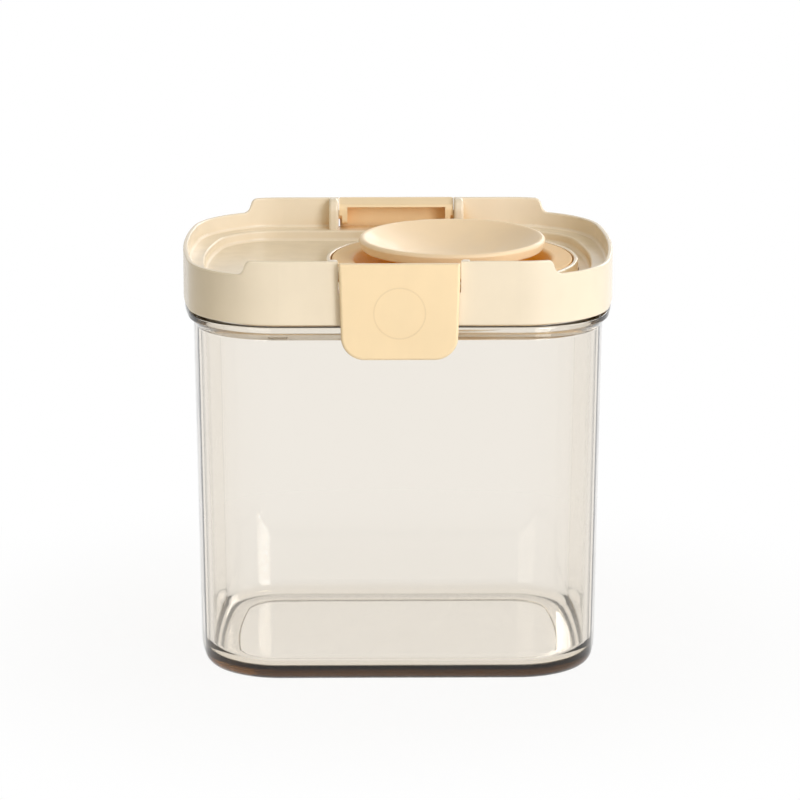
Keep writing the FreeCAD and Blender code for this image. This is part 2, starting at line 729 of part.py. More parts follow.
def pump_knob():
    """Dished knob on a waisted neck that stands in the piston's bowl."""
    rim_top = DISC_TOP + KNOB_RISE
    rim_inside = KNOB_RADIUS - KNOB_RIM_WIDTH
    dish_bottom = rim_top - DISH_DEPTH
    sphere = (rim_inside ** 2 + DISH_DEPTH ** 2) / (2 * DISH_DEPTH)
    knob = turned([
        (0, BOWL_FLOOR),
        (KNOB_FOOT_RADIUS, BOWL_FLOOR, KNOB_FOOT_ROUND),
        (KNOB_NECK_RADIUS, BOWL_FLOOR + KNOB_NECK_HEIGHT, KNOB_NECK_ROUND),
        (KNOB_RADIUS - KNOB_RIM_DRAFT, rim_top - KNOB_RIM, KNOB_RIM_EDGE),
        (KNOB_RADIUS, rim_top - KNOB_RIM_ROUND),
        (KNOB_RADIUS, rim_top, KNOB_RIM_ROUND),
        (0, rim_top),
    ], PUMP_X, PUMP_Y)
    dish = Part.makeSphere(sphere, FreeCAD.Vector(PUMP_X, PUMP_Y, dish_bottom + sphere))
    knob = knob.cut(dish)
    rim_edges = [
        edge for edge in knob.Edges
        if abs(edge.BoundBox.ZMin - rim_top) < KNOB_RIM_ROUND / 2
        and abs(edge.BoundBox.XLength / 2 - rim_inside) < KNOB_RIM_ROUND / 2
    ]
    knob = knob.makeFillet(DISH_ROUND, rim_edges)
    pilot = hole(
        SCREW_RADIUS + SCREW_FIT, BOWL_FLOOR - OVERRUN,
        BOWL_FLOOR + SCREW_GRIP + SCREW_TIP, PUMP_X, PUMP_Y,
    )
    return knob.cut(pilot)


def knob_screw():
    """Cross-head screw from under the piston up into the knob."""
    head_top = BOWL_BOTTOM - WASHER_HEIGHT
    head_bottom = head_top - SCREW_HEAD_HEIGHT
    screw = turned([
        (0, head_bottom),
        (SCREW_HEAD_RADIUS, head_bottom, SCREW_HEAD_ROUND),
        (SCREW_HEAD_RADIUS, head_top),
        (SCREW_RADIUS, head_top),
        (SCREW_RADIUS, BOWL_FLOOR + SCREW_GRIP, SCREW_TIP),
        (0, BOWL_FLOOR + SCREW_GRIP),
    ], PUMP_X, PUMP_Y)
    slots = []
    for length, width in ((DRIVE_LENGTH, DRIVE_WIDTH), (DRIVE_WIDTH, DRIVE_LENGTH)):
        corner = FreeCAD.Vector(PUMP_X - length / 2, PUMP_Y - width / 2, head_bottom - OVERRUN)
        slots.append(Part.makeBox(length, width, OVERRUN + DRIVE_DEPTH, corner))
    return screw.cut(slots)


def screw_washer():
    """Sealing washer under the screw's head."""
    inner = SCREW_RADIUS + SCREW_CLEARANCE
    bottom = BOWL_BOTTOM - WASHER_HEIGHT
    return turned([
        (inner, bottom),
        (WASHER_RADIUS, bottom),
        (WASHER_RADIUS, BOWL_BOTTOM),
        (inner, BOWL_BOTTOM),
    ], PUMP_X, PUMP_Y)


def release_valve():
    """Plug with a grip under its cap's edge and a barb that limits how far it lifts."""
    barb_top = LINER_PLATE_BOTTOM - RELEASE_TRAVEL - RELEASE_CLEARANCE
    barb_bottom = barb_top - RELEASE_BARB_HEIGHT
    grip = RELEASE_CAP_RADIUS - RELEASE_GRIP_DEPTH
    return turned([
        (0, barb_bottom),
        (RELEASE_TIP_RADIUS, barb_bottom),
        (RELEASE_BARB_RADIUS, barb_top),
        (RELEASE_STEM_RADIUS, barb_top),
        (RELEASE_STEM_RADIUS, WELL_FLOOR),
        (grip, WELL_FLOOR),
        (grip, WELL_FLOOR + RELEASE_GRIP_HEIGHT),
        (RELEASE_CAP_RADIUS, WELL_FLOOR + RELEASE_GRIP_HEIGHT),
        (RELEASE_CAP_RADIUS, WELL_FLOOR + RELEASE_CAP_HEIGHT, RELEASE_CAP_ROUND),
        (0, WELL_FLOOR + RELEASE_CAP_HEIGHT),
    ], RELEASE_X, RELEASE_Y)


def main():
    latch = front_latch()
    pieces = {
        "jar_body": jar_body(),
        "lid_cover": lid_cover(),
        "lid_liner": lid_liner(),
        "lid_gasket": lid_gasket(),
        "front_latch": latch,
        "rear_latch": rear_copy(latch),
        "pump_barrel": pump_barrel(),
        "barrel_seal": barrel_seal(),
        "inlet_valve": inlet_valve(),
        "pump_piston": pump_piston(),
        "piston_seal": piston_seal(),
        "pump_knob": pump_knob(),
        "knob_screw": knob_screw(),
        "screw_washer": screw_washer(),
        "release_valve": release_valve(),
    }
    os.makedirs("parts", exist_ok=True)
    for name, shape in pieces.items():
        solid = shape.Solids[0]
        print(f"{name}: {len(shape.Solids)} solid, valid {solid.isValid()}, {solid.Volume:.1f} mm3")
        solid.exportStep(os.path.join("parts", name + ".step"))


main()
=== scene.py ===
"""Finishes, stage and camera for a clear storage jar with two latches and a pump in its lid.

Lengths are in metres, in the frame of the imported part: +Z is up and -Y is the front.
"""

import math
from typing import NamedTuple

import bpy
from bpy.props import FloatProperty, FloatVectorProperty, PointerProperty
from bpy.types import Operator, Panel, PropertyGroup
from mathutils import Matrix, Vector


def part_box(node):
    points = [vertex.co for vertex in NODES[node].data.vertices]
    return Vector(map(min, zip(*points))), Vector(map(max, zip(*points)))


bl_info = {
    "name": "Storage Jar",
    "version": (1, 0, 0),
    "blender": (4, 5, 0),
    "location": "View3D > Sidebar > Storage Jar",
    "description": "Finishes a clear storage jar with a pump lid and sets its stage",
    "category": "Object",
}

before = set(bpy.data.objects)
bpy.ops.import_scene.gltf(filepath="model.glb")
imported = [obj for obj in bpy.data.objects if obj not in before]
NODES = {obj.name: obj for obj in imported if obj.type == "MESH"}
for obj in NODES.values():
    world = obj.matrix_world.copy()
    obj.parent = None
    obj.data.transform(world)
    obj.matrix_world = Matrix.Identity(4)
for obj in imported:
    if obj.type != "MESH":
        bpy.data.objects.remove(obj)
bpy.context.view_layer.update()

# Height of the fine relief on each finish.
MOULD_RELIEF = 0.000004
SILICONE_RELIEF = 0.000008
WALL_RELIEF = 0.000015
TURNED_RELIEF = 0.000004

# Specular level of each finish.
PLASTIC_GLOSS = 0.5
PISTON_GLOSS = 0.08
SILICONE_GLOSS = 0.3
FLOOR_GLOSS = 0.1
FLOOR_ROUGHNESS = 0.8

# Parts of a noise's range that are spread over a finish's own range.
MIDDLE_NOISE = (0.25, 0.75)
WIDE_NOISE = (0.2, 0.8)
UPPER_NOISE = (0.4, 0.75)

# Shares by which a noise changes a colour or a roughness.
TONE_SHARES = (0.972, 1.022)
FLOW_SHARES = (0.99, 1.01)
SHINE_SHARES = (0.82, 1.22)
HAZE_SHARES = (0.8, 1.6)
TURNED_TONE_SHARES = (0.8, 1.15)
TURNED_SHINE_SHARES = (0.7, 1.4)

# Sizes of a finish's other noises as shares of its main size.
STREAK_SHARE = 0.3
SWELL_SHARE = 0.35
SCUFF_SHARE = 0.12
HAZE_SHARE = 3.0

# Mould grain as a share of the swells that it lies on, and the stretch of the streaks up a moulded wall.
GRAIN_SHARE = 0.22
STREAK_STRETCH = (1.0, 1.0, 0.25)

# Share of open room over a point at which the painted corner shade is full, and at which it is gone.
PAINTED_SHADE_SHARES = (0.22, 0.58)
PAINTED_SHADE_SAMPLES = 8

# Share of a ring's width at which its edge starts to fade.
GROOVE_CORE_SHARE = 0.5

# Room behind a flap's outer face that still counts as the face.
FACE_MARGIN = 0.0006

# Height at which scuffs are gone, as a share of the foot ring's height.
SCUFF_END_SHARE = 2.0

# The floor lies this far under the foot ring, so that the two don't share a plane.
FLOOR_DROP = 0.00005

# Least share of white in the floor, and the distance from the jar's middle at which it starts to rise.
SHADOW_WHITE_SHARE = 0.90
SHADOW_START = 0.05

SENSOR_WIDTH = 36

FADE_OUT = (1.0, 0.0)
FLAT_PLANE = (1.0, 1.0, 0.0)
FRONT_PLANE = (1.0, 0.0, 1.0)


class SoftBox(NamedTuple):
    """A rectangular lamp that faces the jar, with its angles in degrees.

    At a level of 1 it lights a surface that faces it so that a colour renders as written.
    One for the gloss only shows in reflections and lights nothing.
    """

    name: str
    turn: float
    elevation: float
    distance: float
    width: float
    height: float
    level: float
    gloss_only: bool = False


SOFT_BOXES = (
    SoftBox("Key", turn=37, elevation=16, distance=1.4, width=0.55, height=1.2, level=0.72),
    SoftBox("Right side", turn=90, elevation=30, distance=1.4, width=0.8, height=0.8, level=0.10),
    SoftBox("Back", turn=152, elevation=22, distance=1.4, width=0.9, height=0.5, level=0.24),
    SoftBox("Top", turn=10, elevation=78, distance=1.4, width=1.0, height=1.0, level=0.07),
    SoftBox("Left side", turn=-88, elevation=10, distance=1.2, width=1.4, height=1.2, level=0.04),
    SoftBox(
        "Left strip", turn=-30, elevation=12, distance=1.4, width=0.75, height=1.1, level=0.25,
        gloss_only=True,
    ),
)


def colour_property(name, description, default):
    return FloatVectorProperty(
        name=name, description=description, default=default, subtype="COLOR", size=3, min=0, max=1,
    )


def length_property(name, description, default):
    return FloatProperty(
        name=name, description=description, default=default, min=0.00001, unit="LENGTH", precision=5,
    )


def share_property(name, description, default):
    return FloatProperty(name=name, description=description, default=default, min=0, max=1, subtype="FACTOR")


def angle_property(name, description, degrees):
    return FloatProperty(name=name, description=description, default=math.radians(degrees), unit="ROTATION")


class ClearPlasticSettings(PropertyGroup):
    """Polished clear plastic of the jar."""

    tint: colour_property("Tint", "Colour that the plastic's depth leaves in the light", (0.52, 0.35, 0.06))
    density: FloatProperty(
        name="Density", description="Strength of the tint in a metre of plastic", default=68, min=0,
    )
    shadow_tint: colour_property("Shadow tint", "Light that a wall lets into the shadow", (0.92, 0.91, 0.89))
    roughness: share_property("Roughness", "Roughness of the polished wall", 0.015)
    foot_roughness: share_property("Foot roughness", "Roughness of the scuffed foot ring", 0.3)
    foot_height: length_property("Foot height", "Height of the scuffed foot ring above the table", 0.0004)
    ripple: length_property("Ripple", "Size of the soft ripples that moulding leaves in the wall", 0.012)
    ior: FloatProperty(name="IOR", description="Refractive index of the plastic", default=1.5, min=1, max=2)


class MouldedPlasticSettings(PropertyGroup):
    """Moulded plastic of the lid, latches and pump."""

    cream: colour_property("Cream", "Colour of the lid cover, liner and barrel", (0.915, 0.815, 0.670))
    # Painted shade: the crease colours are mixed into corners and crevices by ambient occlusion, in place of
    # shade.
    cream_painted_shade: colour_property("Cream painted shade", "Cream in deep corners", (0.82, 0.60, 0.33))
    peach: colour_property("Peach", "Colour of the latches", (0.990, 0.795, 0.530))
    peach_painted_shade: colour_property("Peach painted shade", "Latches in deep corners", (0.97, 0.66, 0.35))
    # Painted highlight: the knob is a paler copy of the latch peach, lightened for the sheen on its dish.
    # Its crease colour is painted shade.
    knob: colour_property("Knob", "Peach of the knob", (0.990, 0.800, 0.580))
    knob_painted_shade: colour_property("Knob painted shade", "Knob in deep corners", (0.985, 0.760, 0.500))
    # Painted shade: the piston is a deeper copy of the latch peach, darkened for the shaded well that it
    # sits in. The finger bowl colour is painted shade and warm bounced light under the knob.
    piston: colour_property("Piston", "Deeper peach of the piston", (0.965, 0.725, 0.460))
    bowl_painted_shade: colour_property("Finger bowl painted shade", "Piston in the depth of the finger bowl", (1.0, 0.50, 0.01))
    roughness: share_property("Roughness", "Middle roughness of the lid and latches", 0.22)
    knob_roughness: share_property("Knob roughness", "Middle roughness of the knob", 0.42)
    piston_roughness: share_property("Piston roughness", "Middle roughness of the matt piston", 0.5)
    # Painted shade: the groove strength darkens a fine ring on each flap, where a cut groove would hold
    # shade.
    groove_shade: share_property("Groove shade", "How much darker the ring on each flap is than the flap", 0.07)
    groove_radius: length_property("Groove radius", "Radius of the ring on each flap", 0.00653)
    groove_width: length_property("Groove width", "Width of the ring on each flap", 0.00025)
    groove_drop: length_property("Groove drop", "From the lid's top to the middle of the ring", 0.0129)
    grain: length_property("Grain", "Size of the fine mould grain", 0.0004)
    drift: length_property("Drift", "Size of the slow changes in tone and shine", 0.018)
    # Reach of the painted corner shade, and of the painted shade in the finger bowl.
    painted_shade_reach: length_property("Painted shade reach", "How far away a facing wall still deepens a corner", 0.012)
    bowl_painted_shade_reach: length_property("Bowl painted shade reach", "How far away the knob still deepens the finger bowl", 0.022)


class SmallPartSettings(PropertyGroup):
    """Silicone seals and the steel screw."""

    silicone: colour_property("Silicone", "Colour of the seals and valves", (0.80, 0.75, 0.66))
    # Painted shade: the silicone crease colour is mixed into corners by ambient occlusion.
    silicone_painted_shade: colour_property("Silicone painted shade", "Silicone in deep corners", (0.66, 0.58, 0.46))
    silicone_roughness: share_property("Silicone roughness", "Middle roughness of the silicone", 0.5)
    steel: colour_property("Steel", "Colour of the screw", (0.62, 0.61, 0.60))
    steel_roughness: share_property("Steel roughness", "Middle roughness of the screw", 0.28)
    turning: length_property("Turning", "Width of the fine turned rings on the screw", 0.00025)


class StageSettings(PropertyGroup):
    """Floor, even light and camera."""

    floor_size: length_property("Floor size", "Length of each side of the floor", 8.0)
    floor_colour: colour_property("Floor colour", "Colour of the floor and backdrop", (1.0, 1.0, 1.0))
    floor_bounce: colour_property("Floor bounce", "Light that the floor throws back", (0.8, 0.8, 0.8))
    shadow_reach: length_property("Shadow reach", "Distance from the jar at which its shadow is lost", 0.16)
    ambient: FloatProperty(
        name="Ambient", description="Strength of the even light from all round", default=0.37, min=0,
    )
    ambient_colour: colour_property("Ambient colour", "Colour of the even light", (1.0, 0.87, 0.58))
    camera_distance: length_property("Camera distance", "From the camera to its target", 1.2098)
    camera_elevation: angle_property("Camera elevation", "Height of the camera above the horizon", 13.49)
    camera_turn: angle_property("Camera turn", "Turn of the camera round the jar from straight ahead", -0.62)
    camera_target: FloatVectorProperty(
        name="Camera target", description="Point that the camera looks at",
        default=(0.00059, 0.0, 0.06532), size=3, subtype="TRANSLATION",
    )
    camera_lens: FloatProperty(
        name="Lens", description="Focal length in millimetres on a sensor 36 mm wide", default=206.5, min=1,
    )


class StorageJarSettings(PropertyGroup):
    """All that a user would change."""

    clear: PointerProperty(type=ClearPlasticSettings)
    moulded: PointerProperty(type=MouldedPlasticSettings)
    small: PointerProperty(type=SmallPartSettings)
    stage: PointerProperty(type=StageSettings)


def settings():
    return bpy.context.scene.storage_jar


def rgba(colour):
    return (*colour, 1.0)


class NodeTree:
    """Short way to add linked nodes to a material, world or group."""

    # Sockets of a mix node that belong to colours.
    MIX_FIRST = 6
    MIX_SECOND = 7
    MIX_RESULT = 2

    def __init__(self, tree):
        self.tree = tree

    def join(self, value, socket):
        """Give an input socket a link from another socket, or a plain value."""
        if isinstance(value, bpy.types.NodeSocket):
            self.tree.links.new(value, socket)
        else:
            socket.default_value = value

    def add(self, kind, values=None, **options):
        """A node of a kind, its options set, and each input that is named given a value or a link."""
        node = self.tree.nodes.new(kind)
        for name, option in options.items():
            setattr(node, name, option)
        for name, value in (values or {}).items():
            self.join(value, node.inputs[name])
        return node

    def math(self, operation, first, second=0.0):
        return self.add("ShaderNodeMath", {0: first, 1: second}, operation=operation).outputs[0]

    def vector(self, operation, first, second):
        return self.add("ShaderNodeVectorMath", {0: first, 1: second}, operation=operation).outputs["Vector"]

    def length(self, vector):
        return self.add("ShaderNodeVectorMath", {0: vector}, operation="LENGTH").outputs["Value"]

    def scaled(self, colour, share):
        """A colour made darker or lighter by a share."""
        node = self.add("ShaderNodeVectorMath", {0: colour, "Scale": share}, operation="SCALE")
        return node.outputs["Vector"]

    def mixed(self, share, first, second):
        """Colour that goes from the first to the second as the share rises."""
        node = self.add(
            "ShaderNodeMix", {0: share, self.MIX_FIRST: first, self.MIX_SECOND: second}, data_type="RGBA",
        )
        return node.outputs[self.MIX_RESULT]

    def ramped(self, value, target, source):
        """A value taken smoothly, and within limits, from a source range to a target range."""
        return self.add(
            "ShaderNodeMapRange",
            {
                "Value": value,
                "From Min": source[0], "From Max": source[1],
                "To Min": target[0], "To Max": target[1],
            },
            interpolation_type="SMOOTHSTEP",
        ).outputs[0]

    def place(self):
        return self.add("ShaderNodeTexCoord").outputs["Object"]

    def noise(self, place, size, detail):
        """Noise whose features are about one size across."""
        scale = self.math("DIVIDE", 1.0, size)
        node = self.add("ShaderNodeTexNoise", {"Vector": place, "Scale": scale, "Detail": detail})
        return node.outputs["Fac"]

    def bump(self, height, relief):
        """Normal of a surface with a relief."""
        return self.add("ShaderNodeBump", {"Strength": 1.0, "Distance": relief, "Height": height}).outputs[0]

    def group(self, tree, values):
        return self.add("ShaderNodeGroup", values, node_tree=tree).outputs


FLOAT = "NodeSocketFloat"
COLOUR = "NodeSocketColor"
VECTOR = "NodeSocketVector"


def shared_group(name, inputs, outputs, fill):
    """A shader node group with named sockets, made once. The fill returns what each output gets."""
    if name in bpy.data.node_groups:
        return bpy.data.node_groups[name]
    tree = bpy.data.node_groups.new(name, "ShaderNodeTree")
    for socket, kind in inputs.items():
        tree.interface.new_socket(socket, in_out="INPUT", socket_type=kind)
    for socket, kind in outputs.items():
        tree.interface.new_socket(socket, in_out="OUTPUT", socket_type=kind)
    nodes = NodeTree(tree)
    given = nodes.add("NodeGroupInput").outputs
    nodes.add("NodeGroupOutput", fill(nodes, given))
    return tree


def moulded_skin_group():
    """Fine mould grain with slow drifts in tone and shine."""
    def fill(nodes, given):
        place = nodes.place()
        drift_size = given["Drift size"]
        drift = nodes.noise(place, drift_size, detail=3.0)
        streak_place = nodes.vector("MULTIPLY", place, STREAK_STRETCH)
        streak = nodes.noise(streak_place, nodes.math("MULTIPLY", drift_size, STREAK_SHARE), detail=4.0)
        grain = nodes.noise(place, given["Grain size"], detail=2.0)
        swell = nodes.noise(place, nodes.math("MULTIPLY", drift_size, SWELL_SHARE), detail=1.0)
        tone = nodes.ramped(drift, TONE_SHARES, MIDDLE_NOISE)
        flow = nodes.ramped(streak, FLOW_SHARES, MIDDLE_NOISE)
        shine = nodes.ramped(streak, SHINE_SHARES, WIDE_NOISE)
        return {
            "Colour": nodes.scaled(given["Colour"], nodes.math("MULTIPLY", tone, flow)),
            "Roughness": nodes.math("MULTIPLY", given["Roughness"], shine),
            "Height": nodes.math("ADD", nodes.math("MULTIPLY", grain, GRAIN_SHARE), swell),
        }

    return shared_group(
        "Moulded skin",
        {"Colour": COLOUR, "Roughness": FLOAT, "Grain size": FLOAT, "Drift size": FLOAT},
        {"Colour": COLOUR, "Roughness": FLOAT, "Height": FLOAT},
        fill,
    )


def painted_shade_group():
    """Painted shade: colour that deepens in corners and crevices, found by ambient occlusion, in place of
    the shade and warm light that facing walls pass to and fro.
    """
    def fill(nodes, given):
        room = nodes.add("ShaderNodeAmbientOcclusion", {"Distance": given["Reach"]}, samples=PAINTED_SHADE_SAMPLES)
        closed = nodes.ramped(room.outputs["AO"], FADE_OUT, PAINTED_SHADE_SHARES)
        return {"Colour": nodes.mixed(closed, given["Colour"], given["Painted shade"])}

    return shared_group(
        "Painted shade",
        {"Colour": COLOUR, "Painted shade": COLOUR, "Reach": FLOAT},
        {"Colour": COLOUR},
        fill,
    )


def groove_shade_group():
    """Shade in a fine ring that is cut in the outer face of a flap."""
    def fill(nodes, given):
        arm = nodes.vector("SUBTRACT", nodes.place(), given["Centre"])
        radius = nodes.length(nodes.vector("MULTIPLY", arm, FRONT_PLANE))
        off = nodes.math("ABSOLUTE", nodes.math("SUBTRACT", radius, given["Radius"]))
        core = nodes.math("MULTIPLY", given["Width"], GROOVE_CORE_SHARE)
        ring = nodes.ramped(off, FADE_OUT, (core, given["Width"]))
        outward = nodes.math("ABSOLUTE", nodes.add("ShaderNodeSeparateXYZ", {0: arm}).outputs["Y"])
        on_face = nodes.math("GREATER_THAN", outward, given["Face"])
        shade = nodes.math("MULTIPLY", nodes.math("MULTIPLY", ring, on_face), given["Strength"])
        return {"Colour": nodes.scaled(given["Colour"], nodes.math("SUBTRACT", 1.0, shade))}

    return shared_group(
        "Groove shade",
        {
            "Colour": COLOUR, "Centre": VECTOR, "Radius": FLOAT, "Width": FLOAT, "Face": FLOAT,
            "Strength": FLOAT,
        },
        {"Colour": COLOUR},
        fill,
    )


def wall_marks_group():
    """Soft ripples of a clear moulded wall, and the scuffs that a foot ring picks up."""
    def fill(nodes, given):
        place = nodes.place()
        foot = given["Foot height"]
        height_up = nodes.add("ShaderNodeSeparateXYZ", {0: place}).outputs["Z"]
        scuff = nodes.ramped(height_up, FADE_OUT, (foot, nodes.math("MULTIPLY", foot, SCUFF_END_SHARE)))
        patch = nodes.noise(place, nodes.math("MULTIPLY", given["Ripple"], SCUFF_SHARE), detail=4.0)
        cloud = nodes.noise(place, nodes.math("MULTIPLY", given["Ripple"], HAZE_SHARE), detail=2.0)
        haze = nodes.ramped(cloud, HAZE_SHARES, UPPER_NOISE)
        polished = nodes.math("MULTIPLY", given["Roughness"], haze)
        rubbed = nodes.math("MULTIPLY", given["Foot roughness"], nodes.math("MULTIPLY", scuff, patch))
        return {
            "Roughness": nodes.math("ADD", polished, rubbed),
            "Height": nodes.noise(place, given["Ripple"], detail=1.0),
        }

    return shared_group(
        "Wall marks",
        {"Roughness": FLOAT, "Foot roughness": FLOAT, "Foot height": FLOAT, "Ripple": FLOAT},
        {"Roughness": FLOAT, "Height": FLOAT},
        fill,
    )


def turned_rings_group():
    """Fine rings round an upright line, as a lathe leaves them."""
    def fill(nodes, given):
        arm = nodes.vector("SUBTRACT", nodes.place(), given["Centre"])
        radius = nodes.length(nodes.vector("MULTIPLY", arm, FLAT_PLANE))
        ring = nodes.add(
            "ShaderNodeTexNoise",
            {"W": nodes.math("DIVIDE", radius, given["Width"]), "Scale": 1.0, "Detail": 2.0},
            noise_dimensions="1D",
        ).outputs["Fac"]
        shine = nodes.ramped(ring, TURNED_SHINE_SHARES, MIDDLE_NOISE)
        return {
            "Colour": nodes.scaled(given["Colour"], nodes.ramped(ring, TURNED_TONE_SHARES, MIDDLE_NOISE)),
            "Roughness": nodes.math("MULTIPLY", given["Roughness"], shine),
            "Height": ring,
        }

    return shared_group(
        "Turned rings",
        {"Colour": COLOUR, "Roughness": FLOAT, "Centre": VECTOR, "Width": FLOAT},
        {"Colour": COLOUR, "Roughness": FLOAT, "Height": FLOAT},
        fill,
    )


def start_material(name):
    """A material with only a Principled shader and its output."""
    material = bpy.data.materials.new(name)
    material.use_nodes = True
    material.node_tree.nodes.clear()
    nodes = NodeTree(material.node_tree)
    shader = nodes.add("ShaderNodeBsdfPrincipled")
    output = nodes.add("ShaderNodeOutputMaterial", {"Surface": shader.outputs[0]})
    return material, nodes, shader, output


def set_inputs(shader, values):
    for name, value in values.items():
        shader.inputs[name].default_value = value


def flap_ring(nodes, colour):
    """A latch's colour with the shade of the ring on its flap."""
    look = settings().moulded
    lid_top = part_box("lid_cover")[1][2]
    outer_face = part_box("rear_latch")[1][1]
    return nodes.group(groove_shade_group(), {
        "Colour": colour, "Centre": (0.0, 0.0, lid_top - look.groove_drop), "Radius": look.groove_radius,
        "Width": look.groove_width, "Face": outer_face - FACE_MARGIN, "Strength": look.groove_shade,
    })["Colour"]


def moulded_material(
    name, colour, painted_shade, roughness, gloss=PLASTIC_GLOSS, relief=MOULD_RELIEF, reach=None, marks=None,
):
    """A moulded skin with painted shade that deepens its colour in corners. Marks, where given, change that
    colour once more.
    """
    look = settings().moulded
    material, nodes, shader, _ = start_material(name)
    skin = nodes.group(moulded_skin_group(), {
        "Colour": rgba(colour), "Roughness": roughness, "Grain size": look.grain, "Drift size": look.drift,
    })
    # Painted shade: ambient occlusion mixes the crease colour into corners and crevices.
    shaded = nodes.group(painted_shade_group(), {
        "Colour": skin["Colour"], "Painted shade": rgba(painted_shade), "Reach": reach or look.painted_shade_reach,
    })["Colour"]
    nodes.join(marks(nodes, shaded) if marks else shaded, shader.inputs["Base Color"])
    nodes.join(skin["Roughness"], shader.inputs["Roughness"])
    nodes.join(nodes.bump(skin["Height"], relief), shader.inputs["Normal"])
    set_inputs(shader, {"Specular IOR Level": gloss})
    return material


def clear_plastic():
    """Clear polished plastic with a faint warm grey in its depth."""
    look = settings().clear
    material, nodes, shader, output = start_material("Clear jar plastic")
    marks = nodes.group(wall_marks_group(), {
        "Roughness": look.roughness, "Foot roughness": look.foot_roughness, "Foot height": look.foot_height,
        "Ripple": look.ripple,
    })
    nodes.join(marks["Roughness"], shader.inputs["Roughness"])
    nodes.join(nodes.bump(marks["Height"], WALL_RELIEF), shader.inputs["Normal"])
    set_inputs(shader, {"Base Color": (1.0, 1.0, 1.0, 1.0), "IOR": look.ior, "Transmission Weight": 1.0})
    light = nodes.add("ShaderNodeLightPath").outputs
    passing = nodes.add("ShaderNodeBsdfTransparent", {"Color": rgba(look.shadow_tint)})
    surface = nodes.add(
        "ShaderNodeMixShader", {0: light["Is Shadow Ray"], 1: shader.outputs[0], 2: passing.outputs[0]},
    )
    depth = nodes.add("ShaderNodeVolumeAbsorption", {"Color": rgba(look.tint), "Density": look.density})
    nodes.join(surface.outputs[0], output.inputs["Surface"])
    nodes.join(depth.outputs[0], output.inputs["Volume"])
    return material


def turned_steel(name, node):
    """Steel with fine rings round the middle of a node."""
    look = settings().small
    low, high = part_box(node)
    material, nodes, shader, _ = start_material(name)
    rings = nodes.group(turned_rings_group(), {
        "Colour": rgba(look.steel), "Roughness": look.steel_roughness, "Width": look.turning,
        "Centre": [(near + far) / 2 for near, far in zip(low, high)],
    })
    nodes.join(rings["Colour"], shader.inputs["Base Color"])
    nodes.join(rings["Roughness"], shader.inputs["Roughness"])
    nodes.join(nodes.bump(rings["Height"], TURNED_RELIEF), shader.inputs["Normal"])
    set_inputs(shader, {"Metallic": 1.0})
    return material


def dress(material, *names):
    """Give CAD pieces a material in place of the one that they were packed with."""
    for name in names:
        NODES[name].data.materials.clear()
        NODES[name].data.materials.append(material)


class STORAGE_JAR_OT_jar(Operator):
    """Finish the clear jar"""

    bl_idname = "storage_jar.jar"
    bl_label = "Clear jar"

    def execute(self, context):
        dress(clear_plastic(), "jar_body")
        return {"FINISHED"}


class STORAGE_JAR_OT_lid(Operator):
    """Finish the lid's cover, liner and barrel"""

    bl_idname = "storage_jar.lid"
    bl_label = "Lid"

    def execute(self, context):
        look = settings().moulded
        cream = moulded_material("Cream plastic", look.cream, look.cream_painted_shade, look.roughness)
        dress(cream, "lid_cover", "lid_liner", "pump_barrel")
        return {"FINISHED"}


class STORAGE_JAR_OT_latches(Operator):
    """Finish the latches, knob and piston"""

    bl_idname = "storage_jar.latches"
    bl_label = "Latches and pump"

    def execute(self, context):
        look = settings().moulded
        # The latches carry the painted shade of the ring on each flap.
        peach = moulded_material(
            "Peach plastic", look.peach, look.peach_painted_shade, look.roughness, marks=flap_ring,
        )
        # The knob's paler peach is a painted highlight.
        knob = moulded_material("Knob plastic", look.knob, look.knob_painted_shade, look.knob_roughness)
        # The piston's deeper peach and its finger bowl colour are painted shade.
        piston = moulded_material(
            "Piston plastic", look.piston, look.bowl_painted_shade, look.piston_roughness,
            gloss=PISTON_GLOSS, reach=look.bowl_painted_shade_reach,
        )
        dress(peach, "front_latch", "rear_latch")
        dress(knob, "pump_knob")
        dress(piston, "pump_piston")
        return {"FINISHED"}


class STORAGE_JAR_OT_small_parts(Operator):
    """Finish the seals, valves and screw"""

    bl_idname = "storage_jar.small_parts"
    bl_label = "Seals and screw"

    def execute(self, context):
        look = settings().small
        # The silicone's crease colour is painted shade in corners.
        silicone = moulded_material(
            "White silicone", look.silicone, look.silicone_painted_shade, look.silicone_roughness,
            gloss=SILICONE_GLOSS, relief=SILICONE_RELIEF,
        )
        dress(
            silicone, "lid_gasket", "barrel_seal", "inlet_valve", "piston_seal", "screw_washer",
            "release_valve",
        )
        dress(turned_steel("Screw steel", "knob_screw"), "knob_screw")
        return {"FINISHED"}


def link(thing):
    bpy.context.scene.collection.objects.link(thing)
    return thing


def aim(thing, place, target):
    """Put a lamp or camera at a place, looking at a target."""
    thing.location = place
    thing.rotation_euler = (Vector(target) - Vector(place)).to_track_quat("-Z", "Y").to_euler()


def from_round(target, distance, turn, elevation):
    """A place at a distance from a target, a turn from straight ahead to the right, and a height."""
    flat = distance * math.cos(elevation)
    arm = (flat * math.sin(turn), -flat * math.cos(turn), distance * math.sin(elevation))
    return Vector(target) + Vector(arm)


def build_lamp(box):
    data = bpy.data.lights.new(box.name, "AREA")
    data.shape = "RECTANGLE"
    data.size = box.width
    data.size_y = box.height
    data.energy = box.level * (math.pi * box.distance) ** 2
    target = settings().stage.camera_target
    lamp = link(bpy.data.objects.new(box.name, data))
    lamp.visible_diffuse = not box.gloss_only
    aim(lamp, from_round(target, box.distance, math.radians(box.turn), math.radians(box.elevation)), target)


def seen_directly(nodes):
    """1 for what the camera sees, also by way of gloss and clear pieces, and 0 for light on things."""
    light = nodes.add("ShaderNodeLightPath").outputs
    clear = nodes.math("MAXIMUM", light["Is Camera Ray"], light["Is Transmission Ray"])
    return nodes.math("MAXIMUM", clear, light["Is Glossy Ray"])


